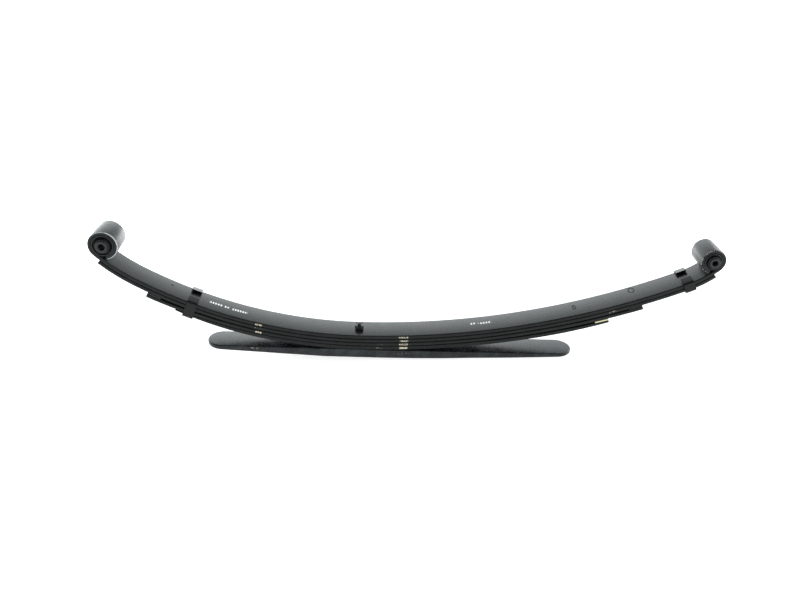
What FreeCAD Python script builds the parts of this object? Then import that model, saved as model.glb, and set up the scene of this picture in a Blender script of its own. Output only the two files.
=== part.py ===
import FreeCAD, Part
import math
import os

# Multi-leaf suspension spring of the half-elliptic kind, unloaded, with an overload leaf under the pack.
# +Z is up, +X points to the rear eye and Y runs across the leaves. The origin is on the centre bolt's axis,
# on the flat seat under the overload leaf that stands on the axle's pad. All sizes are in millimetres.

FRONT = -1
REAR = 1
SIDES = {"front": FRONT, "rear": REAR}

# Leaf stock
LEAF_WIDTH = 76.2
LEAF_THICKNESS = 10.0
EDGE_ROUND = 3.0
THIN_EDGE_ROUND = 1.4
OVERLOAD_THICKNESS = 24.0
MAIN_TOP = OVERLOAD_THICKNESS + 4 * LEAF_THICKNESS

# Main leaf: the upper surface's camber radius in each arm, and the length along it where it turns up
CAMBER_RADIUS = {"front": 1121.0, "rear": 1972.0}
TURN_UP_START = {"front": 560.0, "rear": 835.0}

# Eyes, by centre and outer radius. The main leaf is rolled upwards into them.
EYE_CENTRE = {"front": (-614.4, 289.4), "rear": (860.5, 298.1)}
EYE_RADIUS = {"front": 36.1, "rear": 31.3}
ROLL_END_FROM_BOTTOM = math.radians(54.0)

# Lower leaves: lengths of the arms along the main leaf's upper surface
SECOND_LENGTH = {"front": 660.0, "rear": 898.0}
THIRD_LENGTH = {"front": 539.0, "rear": 722.0}
FOURTH_LENGTH = {"front": 467.0, "rear": 637.0}
FOURTH_TAPER_START = {"front": 230.0, "rear": 460.0}
FOURTH_TIP_THICKNESS = {"front": 3.2, "rear": 6.4}

# Gaps that the friction liners hold open at the leaf tips
THIRD_TIP_GAP = {"front": 4.0, "rear": 2.2}
FOURTH_TIP_GAP = {"front": 0.0, "rear": 3.9}
LINER_LENGTH = 34.0
LINER_WIDTH = 75.0
LINER_EASE = 0.15
LINER_PEG_RADIUS = 4.0
PEG_HOLE_EASE = 0.1

# Overload leaf: flat seat, tapered arms and half-round ends
OVERLOAD_END = {"front": -386.0, "rear": 551.0}
OVERLOAD_SEAT = {"front": -85.0, "rear": 60.0}
OVERLOAD_TOP_FLAT = 85.0
OVERLOAD_TIP_TOP = {"front": 25.0, "rear": 27.0}
OVERLOAD_TIP_UNDERSIDE = {"front": 13.9, "rear": 18.7}
OVERLOAD_REAR_MIDDLE = (290.0, 6.6)

# Centre bolt, M12, with a round head that locates the spring on the axle's pad
BOLT_RADIUS = 6.0
BOLT_HOLE_RADIUS = 6.25
HEAD_RADIUS = 10.0
HEAD_HEIGHT = 9.0
HEAD_CHAMFER = 1.0
COLLAR_RADIUS = 10.4
SPOT_FACE_RADIUS = 10.7
SPOT_FACE_DEPTH = 1.0
NUT_ACROSS_FLATS = 19.0
NUT_HEIGHT = 10.0
NUT_CHAMFER = 1.2
NUT_SEAT_RADIUS = 12.0
BOLT_STANDS_OUT = 7.0

# Bushes: outer sleeve, bonded rubber and inner sleeve
PRESS_EASE = 0.05
OUTER_SLEEVE_WALL = 2.0
OUTER_SLEEVE_LENGTH = 77.4
INNER_SLEEVE_LENGTH = 94.0
INNER_SLEEVE_RADIUS = {"front": 14.5, "rear": 13.0}
INNER_BORE_RADIUS = {"front": 8.2, "rear": 7.2}
RUBBER_EASE = 0.05
RUBBER_RECESS = 7.0
RUBBER_COLLAR_WALL = 3.0
RUBBER_COLLAR_LENGTH = 88.0

# Rebound clips: straps round the leaves, with ears folded over the main leaf
CLIP_PLACE = {"front": 422.0, "rear": 835.0}
CLIP_WIDTH = 26.0
CLIP_THICKNESS = 4.0
CLIP_EASE = 0.3
CLIP_SIDE_EASE = 0.6
CLIP_BEND_RADIUS = 3.0
EAR_LENGTH = 21.0
EAR_RISE = math.radians(8.0)
RIVET_RADIUS = 4.0
RIVET_HOLE_EASE = 0.1
RIVET_HEAD_RADIUS = 7.5
RIVET_HEAD_HEIGHT = 4.0


def point(x, z):
    return FreeCAD.Vector(x, 0, z)


def turn_up_radius(end):
    """Radius of the arc that is tangent to the camber and, from inside, to the inner face of the eye."""
    camber = CAMBER_RADIUS[end]
    start_angle = TURN_UP_START[end] / camber
    eye_x, eye_z = EYE_CENTRE[end]
    eye_inner = EYE_RADIUS[end] - LEAF_THICKNESS
    across = abs(eye_x)
    below = MAIN_TOP + camber - eye_z
    reach = math.hypot(across, below)
    facing = math.cos(math.atan2(across, below) - start_angle)
    numerator = camber ** 2 + reach ** 2 - 2 * camber * reach * facing - eye_inner ** 2
    return numerator / (2 * (camber - reach * facing - eye_inner))


def main_arcs(end):
    """(radius, angle) of each tangent arc of the main leaf's upper surface: camber, turn-up and eye."""
    camber = CAMBER_RADIUS[end]
    turn_up = turn_up_radius(end)
    start_angle = TURN_UP_START[end] / camber
    centre_x = (camber - turn_up) * math.sin(start_angle)
    centre_z = MAIN_TOP + camber - (camber - turn_up) * math.cos(start_angle)
    eye_x, eye_z = EYE_CENTRE[end]
    tangent_angle = math.atan2(abs(eye_x) - centre_x, centre_z - eye_z)
    eye_turn = 2 * math.pi - ROLL_END_FROM_BOTTOM
    return [
        (camber, start_angle),
        (turn_up, tangent_angle - start_angle),
        (EYE_RADIUS[end] - LEAF_THICKNESS, eye_turn),
    ]


def shortened(arcs, length):
    """The same tangent arcs, cut off at a length along their line."""
    kept = []
    left = length
    for radius, angle in arcs:
        used = min(angle, left / radius)
        kept.append((radius, used))
        left -= used * radius
        if left <= 0:
            break
    return kept


def arc_chain(end, level, arcs, depth):
    """Tangent arcs that start level at the bolt axis and curl upwards, moved down by a depth."""
    side = SIDES[end]
    centre_x = 0.0
    centre_z = level + arcs[0][0]
    turned = 0.0
    previous = arcs[0][0]
    edges = []
    for radius, angle in arcs:
        centre_x += side * (previous - radius) * math.sin(turned)
        centre_z -= (previous - radius) * math.cos(turned)
        reach = radius + depth
        angles = [turned + angle * share for share in (0.0, 0.5, 1.0)]
        places = [(centre_x + side * reach * math.sin(a), centre_z - reach * math.cos(a)) for a in angles]
        points = [point(*place) for place in places]
        edges.append(Part.Arc(*points).toShape())
        turned += angle
        previous = radius
    return edges


def last_point(edges):
    return edges[-1].valueAt(edges[-1].LastParameter)


def line(a, b):
    return Part.LineSegment(a, b).toShape()


def extruded(edges, width):
    """A closed outline in the XZ plane, extruded evenly to both sides of it."""
    wire = Part.Wire(Part.__sortEdges__(edges))
    solid = Part.Face(wire).extrude(FreeCAD.Vector(0, width, 0))
    solid.translate(FreeCAD.Vector(0, -width / 2, 0))
    return solid


def rounded_edges(solid, width, radius):
    """The solid with the long edges of both its sides rounded, as rolled spring stock has."""
    long_edges = []
    for edge in solid.Edges:
        box = edge.BoundBox
        on_side = box.YLength < 1e-6 and abs(abs(box.YMin) - width / 2) < 1e-6
        if on_side and edge.Length > 2 * LEAF_THICKNESS:
            long_edges.append(edge)
    return solid.makeFillet(radius, long_edges)


def drilled(solid, radius):
    """The solid with a vertical hole on the centre bolt's axis."""
    tool = Part.makeCylinder(radius, 4 * MAIN_TOP, FreeCAD.Vector(0, 0, -MAIN_TOP))
    return solid.cut(tool)


def leaf_solid(upper, lower, edge_round=EDGE_ROUND):
    """A leaf from its upper and lower lines, each given as the edges of the front arm and of the rear arm."""
    edges = upper["front"] + upper["rear"] + lower["front"] + lower["rear"]
    for end in SIDES:
        edges.append(line(last_point(upper[end]), last_point(lower[end])))
    solid = extruded(edges, LEAF_WIDTH)
    return drilled(rounded_edges(solid, LEAF_WIDTH, edge_round), BOLT_HOLE_RADIUS)


def main_leaf():
    """The top leaf, rolled upwards into an eye at each end, with a flat seat for the nut."""
    upper = {end: arc_chain(end, MAIN_TOP, main_arcs(end), 0) for end in SIDES}
    lower = {end: arc_chain(end, MAIN_TOP, main_arcs(end), LEAF_THICKNESS) for end in SIDES}
    nut_seat = Part.makeCylinder(NUT_SEAT_RADIUS, NUT_HEIGHT, FreeCAD.Vector(0, 0, MAIN_TOP))
    return leaf_solid(upper, lower).cut(nut_seat)


def second_leaf():
    """The leaf that lies against the main leaf and follows its turn-up to just short of the eyes."""
    arcs = {end: shortened(main_arcs(end), SECOND_LENGTH[end]) for end in SIDES}
    upper = {end: arc_chain(end, MAIN_TOP, arcs[end], LEAF_THICKNESS) for end in SIDES}
    lower = {end: arc_chain(end, MAIN_TOP, arcs[end], 2 * LEAF_THICKNESS) for end in SIDES}
    return leaf_solid(upper, lower).cut(rivet_hole("rear"))


def flatter_radius(radius_above, length, gap):
    """Radius of a line that starts against the one above and leaves a gap from it at a length."""
    return 1 / (1 / radius_above - 2 * gap / length ** 2)


def third_radius(end):
    above = CAMBER_RADIUS[end] + 2 * LEAF_THICKNESS
    return flatter_radius(above, THIRD_LENGTH[end], THIRD_TIP_GAP[end])


def fourth_radius(end):
    above = third_radius(end) + LEAF_THICKNESS
    return flatter_radius(above, FOURTH_LENGTH[end], FOURTH_TIP_GAP[end])


def single_arc(end, level, radius, length, depth):
    return arc_chain(end, level, [(radius, length / radius)], depth)


def third_leaf():
    """A shorter leaf with a little less camber, so that its tips stand off the leaf above."""
    level = MAIN_TOP - 2 * LEAF_THICKNESS
    upper = {}
    lower = {}
    for end in SIDES:
        radius = third_radius(end)
        upper[end] = single_arc(end, level, radius, THIRD_LENGTH[end], 0)
        lower[end] = single_arc(end, level, radius, THIRD_LENGTH[end], LEAF_THICKNESS)
    return leaf_solid(upper, lower).cut(peg_hole("third", "front")).cut(peg_hole("third", "rear"))


def tapering_arcs(end):
    """Arcs of the fourth leaf's underside: its camber, and a tighter arc that thins the leaf to its tip."""
    radius = fourth_radius(end)
    start = FOURTH_TAPER_START[end] / radius
    turn = (FOURTH_LENGTH[end] - FOURTH_TAPER_START[end]) / radius
    under = radius + LEAF_THICKNESS
    tip = radius + FOURTH_TIP_THICKNESS[end]
    along = tip * math.sin(turn)
    inwards = under - tip * math.cos(turn)
    chord = math.hypot(along, inwards)
    tight = chord ** 2 / (2 * inwards)
    return [(radius, start), (tight - LEAF_THICKNESS, 2 * math.asin(chord / (2 * tight)))]


def fourth_leaf():
    """The shortest cambered leaf, with ends rolled thinner."""
    level = MAIN_TOP - 3 * LEAF_THICKNESS
    upper = {}
    lower = {}
    for end in SIDES:
        upper[end] = single_arc(end, level, fourth_radius(end), FOURTH_LENGTH[end], 0)
        lower[end] = arc_chain(end, level, tapering_arcs(end), LEAF_THICKNESS)
    return leaf_solid(upper, lower, THIN_EDGE_ROUND).cut(peg_hole("fourth", "rear")).cut(rivet_hole("front"))


def overload_leaf():
    """The thick straight leaf under the pack: flat at its seat, with tapered arms and half-round ends."""
    top = [point(OVERLOAD_END["front"], OVERLOAD_TIP_TOP["front"])]
    top += [point(side * OVERLOAD_TOP_FLAT, OVERLOAD_THICKNESS) for side in SIDES.values()]
    top.append(point(OVERLOAD_END["rear"], OVERLOAD_TIP_TOP["rear"]))
    seat = {end: point(OVERLOAD_SEAT[end], 0) for end in SIDES}
    tip = {end: point(OVERLOAD_END[end], OVERLOAD_TIP_UNDERSIDE[end]) for end in SIDES}
    edges = [line(a, b) for a, b in zip(top, top[1:])]
    edges += [line(top[0], tip["front"]), line(tip["front"], seat["front"])]
    edges.append(line(seat["front"], seat["rear"]))
    edges.append(Part.Arc(seat["rear"], point(*OVERLOAD_REAR_MIDDLE), tip["rear"]).toShape())
    edges.append(line(tip["rear"], top[-1]))
    solid = extruded(edges, LEAF_WIDTH).common(overload_plan())
    solid = solid.makeFillet(EDGE_ROUND, rim_edges(solid))
    solid = drilled(solid, BOLT_HOLE_RADIUS)
    return solid.cut(Part.makeCylinder(SPOT_FACE_RADIUS, SPOT_FACE_DEPTH))


def overload_plan():
    """The overload leaf's outline seen from above, as a tall solid."""
    half = LEAF_WIDTH / 2
    front = OVERLOAD_END["front"] + half
    rear = OVERLOAD_END["rear"] - half
    corners = [FreeCAD.Vector(front, half, 0), FreeCAD.Vector(rear, half, 0)]
    corners += [FreeCAD.Vector(rear, -half, 0), FreeCAD.Vector(front, -half, 0)]
    round_rear = Part.Arc(corners[1], FreeCAD.Vector(rear + half, 0, 0), corners[2]).toShape()
    round_front = Part.Arc(corners[3], FreeCAD.Vector(front - half, 0, 0), corners[0]).toShape()
    wire = Part.Wire([line(*corners[:2]), round_rear, line(*corners[2:]), round_front])
    plan = Part.Face(wire).extrude(FreeCAD.Vector(0, 0, 2 * MAIN_TOP))
    plan.translate(FreeCAD.Vector(0, 0, -MAIN_TOP))
    return plan


def rim_edges(solid):
    """Edges that run round a leaf's upper and lower faces, along its sides and its rounded ends."""
    found = []
    for edge in solid.Edges:
        box = edge.BoundBox
        upright = box.XLength < 1e-3 and box.YLength < 1e-3
        crosswise = box.XLength < 1e-3 and box.YLength > LEAF_WIDTH - 1e-3
        if not upright and not crosswise:
            found.append(edge)
    return found


def centre_bolt():
    """The bolt that holds the leaves together, with its round head below the seat."""
    head = Part.makeCylinder(HEAD_RADIUS, HEAD_HEIGHT, FreeCAD.Vector(0, 0, -HEAD_HEIGHT))
    low_rim = [e for e in head.Edges if e.BoundBox.ZMax < -HEAD_HEIGHT + 1e-6]
    head = head.makeChamfer(HEAD_CHAMFER, low_rim)
    collar = Part.makeCylinder(COLLAR_RADIUS, SPOT_FACE_DEPTH)
    shank = Part.makeCylinder(BOLT_RADIUS, MAIN_TOP + NUT_HEIGHT + BOLT_STANDS_OUT)
    top_rim = [e for e in shank.Edges if e.BoundBox.ZMin > MAIN_TOP]
    shank = shank.makeChamfer(HEAD_CHAMFER, top_rim)
    return head.fuse(collar).fuse(shank).removeSplitter()


def centre_bolt_nut():
    """Hexagon nut on the main leaf, with its corners chamfered at the top."""
    corner = NUT_ACROSS_FLATS / 2 / math.cos(math.pi / 6)
    angles = [math.radians(60 * n) for n in range(7)]
    ring = [FreeCAD.Vector(corner * math.cos(a), corner * math.sin(a), MAIN_TOP) for a in angles]
    prism = Part.Face(Part.makePolygon(ring)).extrude(FreeCAD.Vector(0, 0, NUT_HEIGHT))
    slope = NUT_HEIGHT / NUT_CHAMFER * (corner - NUT_ACROSS_FLATS / 2) + NUT_ACROSS_FLATS / 2
    cone = Part.makeCone(slope, NUT_ACROSS_FLATS / 2, NUT_HEIGHT, FreeCAD.Vector(0, 0, MAIN_TOP))
    bore = Part.makeCylinder(BOLT_RADIUS, NUT_HEIGHT, FreeCAD.Vector(0, 0, MAIN_TOP))
    return prism.common(cone).cut(bore)


def across_cylinder(end, radius, length):
    """A cylinder across the leaves on an eye's axis, centred on the leaf's width."""
    eye_x, eye_z = EYE_CENTRE[end]
    start = FreeCAD.Vector(eye_x, -length / 2, eye_z)
    return Part.makeCylinder(radius, length, start, FreeCAD.Vector(0, 1, 0))


def outer_sleeve_radius(end):
    return EYE_RADIUS[end] - LEAF_THICKNESS - PRESS_EASE


def bush_outer_sleeve(end):
    """Thin steel shell pressed into the eye."""
    radius = outer_sleeve_radius(end)
    shell = across_cylinder(end, radius, OUTER_SLEEVE_LENGTH)
    return shell.cut(across_cylinder(end, radius - OUTER_SLEEVE_WALL, OUTER_SLEEVE_LENGTH))


def bush_rubber(end):
    """Rubber bonded between the sleeves, dished at both ends and carried out along the inner sleeve."""
    outside = outer_sleeve_radius(end) - OUTER_SLEEVE_WALL
    inside = INNER_SLEEVE_RADIUS[end] + RUBBER_EASE
    collar = inside + RUBBER_COLLAR_WALL
    half_ring = OUTER_SLEEVE_LENGTH / 2 - RUBBER_RECESS
    half_collar = RUBBER_COLLAR_LENGTH / 2
    profile = [(inside, -half_collar), (collar, -half_collar), (outside, -half_ring)]
    profile += [(outside, half_ring), (collar, half_collar), (inside, half_collar)]
    eye_x, eye_z = EYE_CENTRE[end]
    points = [FreeCAD.Vector(eye_x + radius, y, eye_z) for radius, y in profile]
    face = Part.Face(Part.makePolygon(points + points[:1]))
    return face.revolve(FreeCAD.Vector(eye_x, 0, eye_z), FreeCAD.Vector(0, 1, 0), 360)


def bush_inner_sleeve(end):
    """Thick steel tube that the mounting bolt clamps."""
    tube = across_cylinder(end, INNER_SLEEVE_RADIUS[end], INNER_SLEEVE_LENGTH)
    return tube.cut(across_cylinder(end, INNER_BORE_RADIUS[end], INNER_SLEEVE_LENGTH))


def placed_on_arm(shape, end, length):
    """Moves a shape from the bolt axis, z 0 at the main leaf's upper surface, out along that surface."""
    radius = CAMBER_RADIUS[end]
    angle = SIDES[end] * length / radius
    centre = FreeCAD.Vector(0, 0, MAIN_TOP + radius)
    shape.translate(FreeCAD.Vector(0, 0, MAIN_TOP))
    shape.rotate(centre, FreeCAD.Vector(0, 1, 0), -math.degrees(angle))
    return shape


def pack_depth(end, length):
    """Depth of the leaves that an arm's clip holds, below the main leaf's upper surface."""
    if end == "rear":
        return 2 * LEAF_THICKNESS
    gap = THIRD_TIP_GAP[end] * (length / THIRD_LENGTH[end]) ** 2
    taper = LEAF_THICKNESS - FOURTH_TIP_THICKNESS[end]
    along = (length - FOURTH_TAPER_START[end]) / (FOURTH_LENGTH[end] - FOURTH_TAPER_START[end])
    return 4 * LEAF_THICKNESS + gap - taper * along ** 2


def clip_depth(end):
    """Depth of the clip's inner floor below the main leaf's upper surface."""
    return pack_depth(end, CLIP_PLACE[end] - CLIP_WIDTH / 2) + CLIP_EASE


def clip_outline(end, outset):
    """One line of the strap seen along the leaf, from ear tip to ear tip, moved outwards by outset."""
    half = LEAF_WIDTH / 2 + CLIP_SIDE_EASE + outset
    floor = -clip_depth(end) - outset
    roof = CLIP_EASE + outset
    tip_y = LEAF_WIDTH / 2 - EAR_LENGTH
    tip_z = roof + (half - tip_y) * math.tan(EAR_RISE)
    right = [(tip_y, tip_z), (half, roof), (half, floor)]
    return right + [(-y, z) for y, z in reversed(right)]


def rebound_clip(end):
    """Strap round the leaves, bent up at both sides and folded over the main leaf."""
    outline = clip_outline(end, CLIP_THICKNESS) + list(reversed(clip_outline(end, 0)))
    start = -CLIP_WIDTH / 2
    points = [FreeCAD.Vector(start, y, z) for y, z in outline]
    strap = Part.Face(Part.makePolygon(points + points[:1])).extrude(FreeCAD.Vector(CLIP_WIDTH, 0, 0))
    outer = [e for e in strap.Edges if is_clip_corner(e, end, CLIP_THICKNESS)]
    strap = strap.makeFillet(CLIP_BEND_RADIUS + CLIP_THICKNESS, outer)
    inner = [e for e in strap.Edges if is_clip_corner(e, end, 0)]
    strap = strap.makeFillet(CLIP_BEND_RADIUS, inner)
    strap = placed_on_arm(strap, end, CLIP_PLACE[end])
    return strap.cut(rivet_shank(end, RIVET_RADIUS))


def is_clip_corner(edge, end, outset):
    """Whether an edge is one of the strap's four bends on the line with that outset."""
    box = edge.BoundBox
    if box.XLength < CLIP_WIDTH - 1e-6 or box.YLength > 1e-6:
        return False
    bends = clip_outline(end, outset)[1:3]
    return any(abs(abs(box.YMin) - y) < 1e-6 and abs(box.ZMin - z) < 1e-6 for y, z in bends)


def rivet_depth(end):
    """Depth of the rivet's flush end: the upper face of the lowest leaf in the clip."""
    if end == "rear":
        return LEAF_THICKNESS
    gap = THIRD_TIP_GAP[end] * (CLIP_PLACE[end] / THIRD_LENGTH[end]) ** 2
    return 3 * LEAF_THICKNESS + gap


def rivet_shank(end, radius):
    """The rivet's shank, from the lowest leaf's upper face out through the clip's floor."""
    top = -rivet_depth(end) - CLIP_EASE
    bottom = -clip_depth(end) - CLIP_THICKNESS
    shank = Part.makeCylinder(radius, top - bottom, FreeCAD.Vector(0, 0, bottom))
    return placed_on_arm(shank, end, CLIP_PLACE[end])


def rivet_hole(end):
    """Tool for the rivet's hole, longer than the lowest leaf in the clip is thick."""
    top = -rivet_depth(end) + LEAF_THICKNESS
    bottom = -clip_depth(end) - LEAF_THICKNESS
    hole = Part.makeCylinder(RIVET_RADIUS + RIVET_HOLE_EASE, top - bottom, FreeCAD.Vector(0, 0, bottom))
    return placed_on_arm(hole, end, CLIP_PLACE[end])


def clip_rivet(end):
    """Rivet that fixes the clip to the lowest leaf inside it, with a low round head underneath."""
    bottom = -clip_depth(end) - CLIP_THICKNESS
    ball_radius = (RIVET_HEAD_RADIUS ** 2 + RIVET_HEAD_HEIGHT ** 2) / (2 * RIVET_HEAD_HEIGHT)
    ball = Part.makeSphere(ball_radius, FreeCAD.Vector(0, 0, bottom - RIVET_HEAD_HEIGHT + ball_radius))
    reach = 2 * ball_radius
    below = Part.makeCylinder(reach, reach, FreeCAD.Vector(0, 0, bottom - reach))
    head = placed_on_arm(ball.common(below), end, CLIP_PLACE[end])
    return head.fuse(rivet_shank(end, RIVET_RADIUS)).removeSplitter()


def leaf_top(leaf, end):
    """(level at the bolt, radius, length) of the upper surface of a leaf that has liners."""
    if leaf == "third":
        return MAIN_TOP - 2 * LEAF_THICKNESS, third_radius(end), THIRD_LENGTH[end]
    return MAIN_TOP - 3 * LEAF_THICKNESS, fourth_radius(end), FOURTH_LENGTH[end]


def liner_thickness(leaf, end):
    """Thickness that fills the gap over a leaf at the inner end of its liner, less the ease."""
    length, gap = (THIRD_LENGTH[end], THIRD_TIP_GAP[end])
    if leaf == "fourth":
        length, gap = (FOURTH_LENGTH[end], FOURTH_TIP_GAP[end])
    return gap * ((length - LINER_LENGTH) / length) ** 2 - LINER_EASE


def on_leaf_top(shape, leaf, end, inset):
    """Moves a shape from the bolt axis, z 0 on the leaf's upper surface, to a distance short of its tip."""
    level, radius, length = leaf_top(leaf, end)
    angle = SIDES[end] * (length - inset) / radius
    shape.translate(FreeCAD.Vector(0, 0, level))
    shape.rotate(FreeCAD.Vector(0, 0, level + radius), FreeCAD.Vector(0, 1, 0), -math.degrees(angle))
    return shape


def peg_hole(leaf, end):
    """The hole in a leaf that its liner's peg snaps into."""
    bottom = FreeCAD.Vector(0, 0, -LEAF_THICKNESS / 2 - PEG_HOLE_EASE)
    hole = Part.makeCylinder(LINER_PEG_RADIUS + PEG_HOLE_EASE, LEAF_THICKNESS, bottom)
    return on_leaf_top(hole, leaf, end, LINER_LENGTH / 2)


def tip_liner(leaf, end):
    """Friction pad on a leaf's tip that keeps it off the leaf above, with a peg into the leaf."""
    thickness = liner_thickness(leaf, end)
    size = (LINER_LENGTH, LINER_WIDTH, thickness)
    pad = Part.makeBox(*size, FreeCAD.Vector(-LINER_LENGTH / 2, -LINER_WIDTH / 2, LINER_EASE))
    peg_start = FreeCAD.Vector(0, 0, -LEAF_THICKNESS / 2)
    peg = Part.makeCylinder(LINER_PEG_RADIUS, LEAF_THICKNESS / 2 + thickness, peg_start)
    return on_leaf_top(pad.fuse(peg).removeSplitter(), leaf, end, LINER_LENGTH / 2)


def all_parts():
    parts = {
        "main_leaf": main_leaf(),
        "second_leaf": second_leaf(),
        "third_leaf": third_leaf(),
        "fourth_leaf": fourth_leaf(),
        "overload_leaf": overload_leaf(),
        "centre_bolt": centre_bolt(),
        "centre_bolt_nut": centre_bolt_nut(),
        "third_leaf_front_liner": tip_liner("third", "front"),
        "third_leaf_rear_liner": tip_liner("third", "rear"),
        "fourth_leaf_rear_liner": tip_liner("fourth", "rear"),
    }
    for end in SIDES:
        parts[end + "_bush_outer_sleeve"] = bush_outer_sleeve(end)
        parts[end + "_bush_rubber"] = bush_rubber(end)
        parts[end + "_bush_inner_sleeve"] = bush_inner_sleeve(end)
        parts[end + "_clip"] = rebound_clip(end)
        parts[end + "_clip_rivet"] = clip_rivet(end)
    return parts


def main():
    os.makedirs("parts", exist_ok=True)
    for name, shape in all_parts().items():
        shape.exportStep("parts/" + name + ".step")
        box = shape.BoundBox
        print(name, len(shape.Solids), shape.isValid(), round(shape.Volume), box)


main()
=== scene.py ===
import cmath
import math

import bmesh
import bpy
from bpy.props import FloatProperty, FloatVectorProperty, PointerProperty
from mathutils import Matrix, Vector


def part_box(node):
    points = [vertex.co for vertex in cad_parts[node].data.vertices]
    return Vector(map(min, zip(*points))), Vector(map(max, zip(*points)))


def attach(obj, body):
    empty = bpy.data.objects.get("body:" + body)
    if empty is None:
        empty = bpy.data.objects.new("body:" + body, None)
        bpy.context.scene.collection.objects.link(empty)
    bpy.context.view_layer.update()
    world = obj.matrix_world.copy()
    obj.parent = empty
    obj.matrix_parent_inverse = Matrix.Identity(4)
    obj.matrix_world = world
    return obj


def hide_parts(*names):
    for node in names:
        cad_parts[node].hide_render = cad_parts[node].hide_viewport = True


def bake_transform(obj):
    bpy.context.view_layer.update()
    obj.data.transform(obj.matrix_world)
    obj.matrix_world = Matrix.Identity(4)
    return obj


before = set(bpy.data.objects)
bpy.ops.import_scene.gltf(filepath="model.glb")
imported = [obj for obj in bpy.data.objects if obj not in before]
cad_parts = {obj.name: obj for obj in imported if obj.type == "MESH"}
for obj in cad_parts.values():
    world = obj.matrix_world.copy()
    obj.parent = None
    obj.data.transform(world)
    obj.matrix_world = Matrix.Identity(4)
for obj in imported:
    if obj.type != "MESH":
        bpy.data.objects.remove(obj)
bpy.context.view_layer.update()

bl_info = {
    "name": "Leaf Spring",
    "version": (1, 0, 0),
    "blender": (4, 5, 0),
    "location": "3D View > Sidebar > Leaf Spring",
    "description": "Builds a multi-leaf suspension spring on its fixed frame, with a studio round it",
    "category": "Add Mesh",
}

# Metres, with X towards the rear eye, Y across the leaves and Z up along the centre bolt.
ENDS = {"front": -1.0, "rear": 1.0}
MAIN_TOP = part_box("centre_bolt_nut")[0].z
EYE_CENTRES = {end: sum(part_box(end + "_bush_inner_sleeve"), Vector()) / 2 for end in ENDS}


# Sizes and colours

def size(name, description, default):
    """A length that a user may change."""
    return FloatProperty(name=name, description=description, default=default, unit="LENGTH", precision=4)


def pair(name, description, front, rear):
    """Two such lengths, one for each arm."""
    return FloatVectorProperty(
        name=name, description=description + ", in the front arm and in the rear arm",
        default=(front, rear), size=2, unit="LENGTH", precision=4)


def colour(name, description, default):
    """A colour that a user may change."""
    return FloatVectorProperty(
        name=name, description=description, default=default, size=3, subtype="COLOR", min=0.0, max=1.0)


class SpringSizes(bpy.types.PropertyGroup):
    """Sizes of the spring"""

    leaf_width: size("Leaf width", "Width of the rolled spring stock", 0.0762)
    leaf_thickness: size("Leaf thickness", "Thickness of each cambered leaf", 0.010)
    edge_round: size("Edge round", "Radius of the leaves' long edges", 0.003)
    thin_edge_round: size("Thin edge round", "Radius of the fourth leaf's long edges", 0.0014)
    camber: pair("Camber radius", "Radius of the main leaf's upper surface", 1.121, 1.972)
    turn_up: pair("Turn-up start", "Length at which the main leaf turns up to its eye", 0.560, 0.835)
    eye_radius: pair("Eye radius", "Outer radius of the rolled eye", 0.0361, 0.0313)
    second_length: pair("Second leaf", "Length of the second leaf's arm", 0.660, 0.898)
    third_length: pair("Third leaf", "Length of the third leaf's arm", 0.539, 0.722)
    fourth_length: pair("Fourth leaf", "Length of the fourth leaf's arm", 0.467, 0.637)
    fourth_taper: pair("Fourth leaf taper", "Length at which it starts to thin", 0.230, 0.460)
    fourth_tip: pair("Fourth leaf tip", "Thickness of the fourth leaf's tip", 0.0032, 0.0064)
    third_gap: pair("Third leaf gap", "Gap over the third leaf's tip", 0.0040, 0.0022)
    fourth_gap: pair("Fourth leaf gap", "Gap over the fourth leaf's tip", 0.0, 0.0039)
    liner_length: size("Liner length", "Length of each friction liner", 0.034)
    liner_width: size("Liner width", "Width of each friction liner", 0.075)
    clip_place: pair("Clip place", "Length at the middle of the rebound clip", 0.422, 0.835)
    clip_width: size("Clip width", "Width of the clip's strap along the leaf", 0.026)
    clip_thickness: size("Clip thickness", "Thickness of the clip's strap", 0.004)
    ear_length: size("Ear length", "How far each ear of a clip reaches over the main leaf", 0.021)
    roll_end: FloatProperty(
        name="Roll end", description="Angle from the eye's lowest point back to the end of its roll",
        default=math.radians(54), subtype="ANGLE")
    bush_bore: pair("Bush bore", "Radius of the hole through the bush", 0.0082, 0.0072)
    shell_wall: size("Shell wall", "Wall of the bush's outer sleeve", 0.0020)


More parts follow.
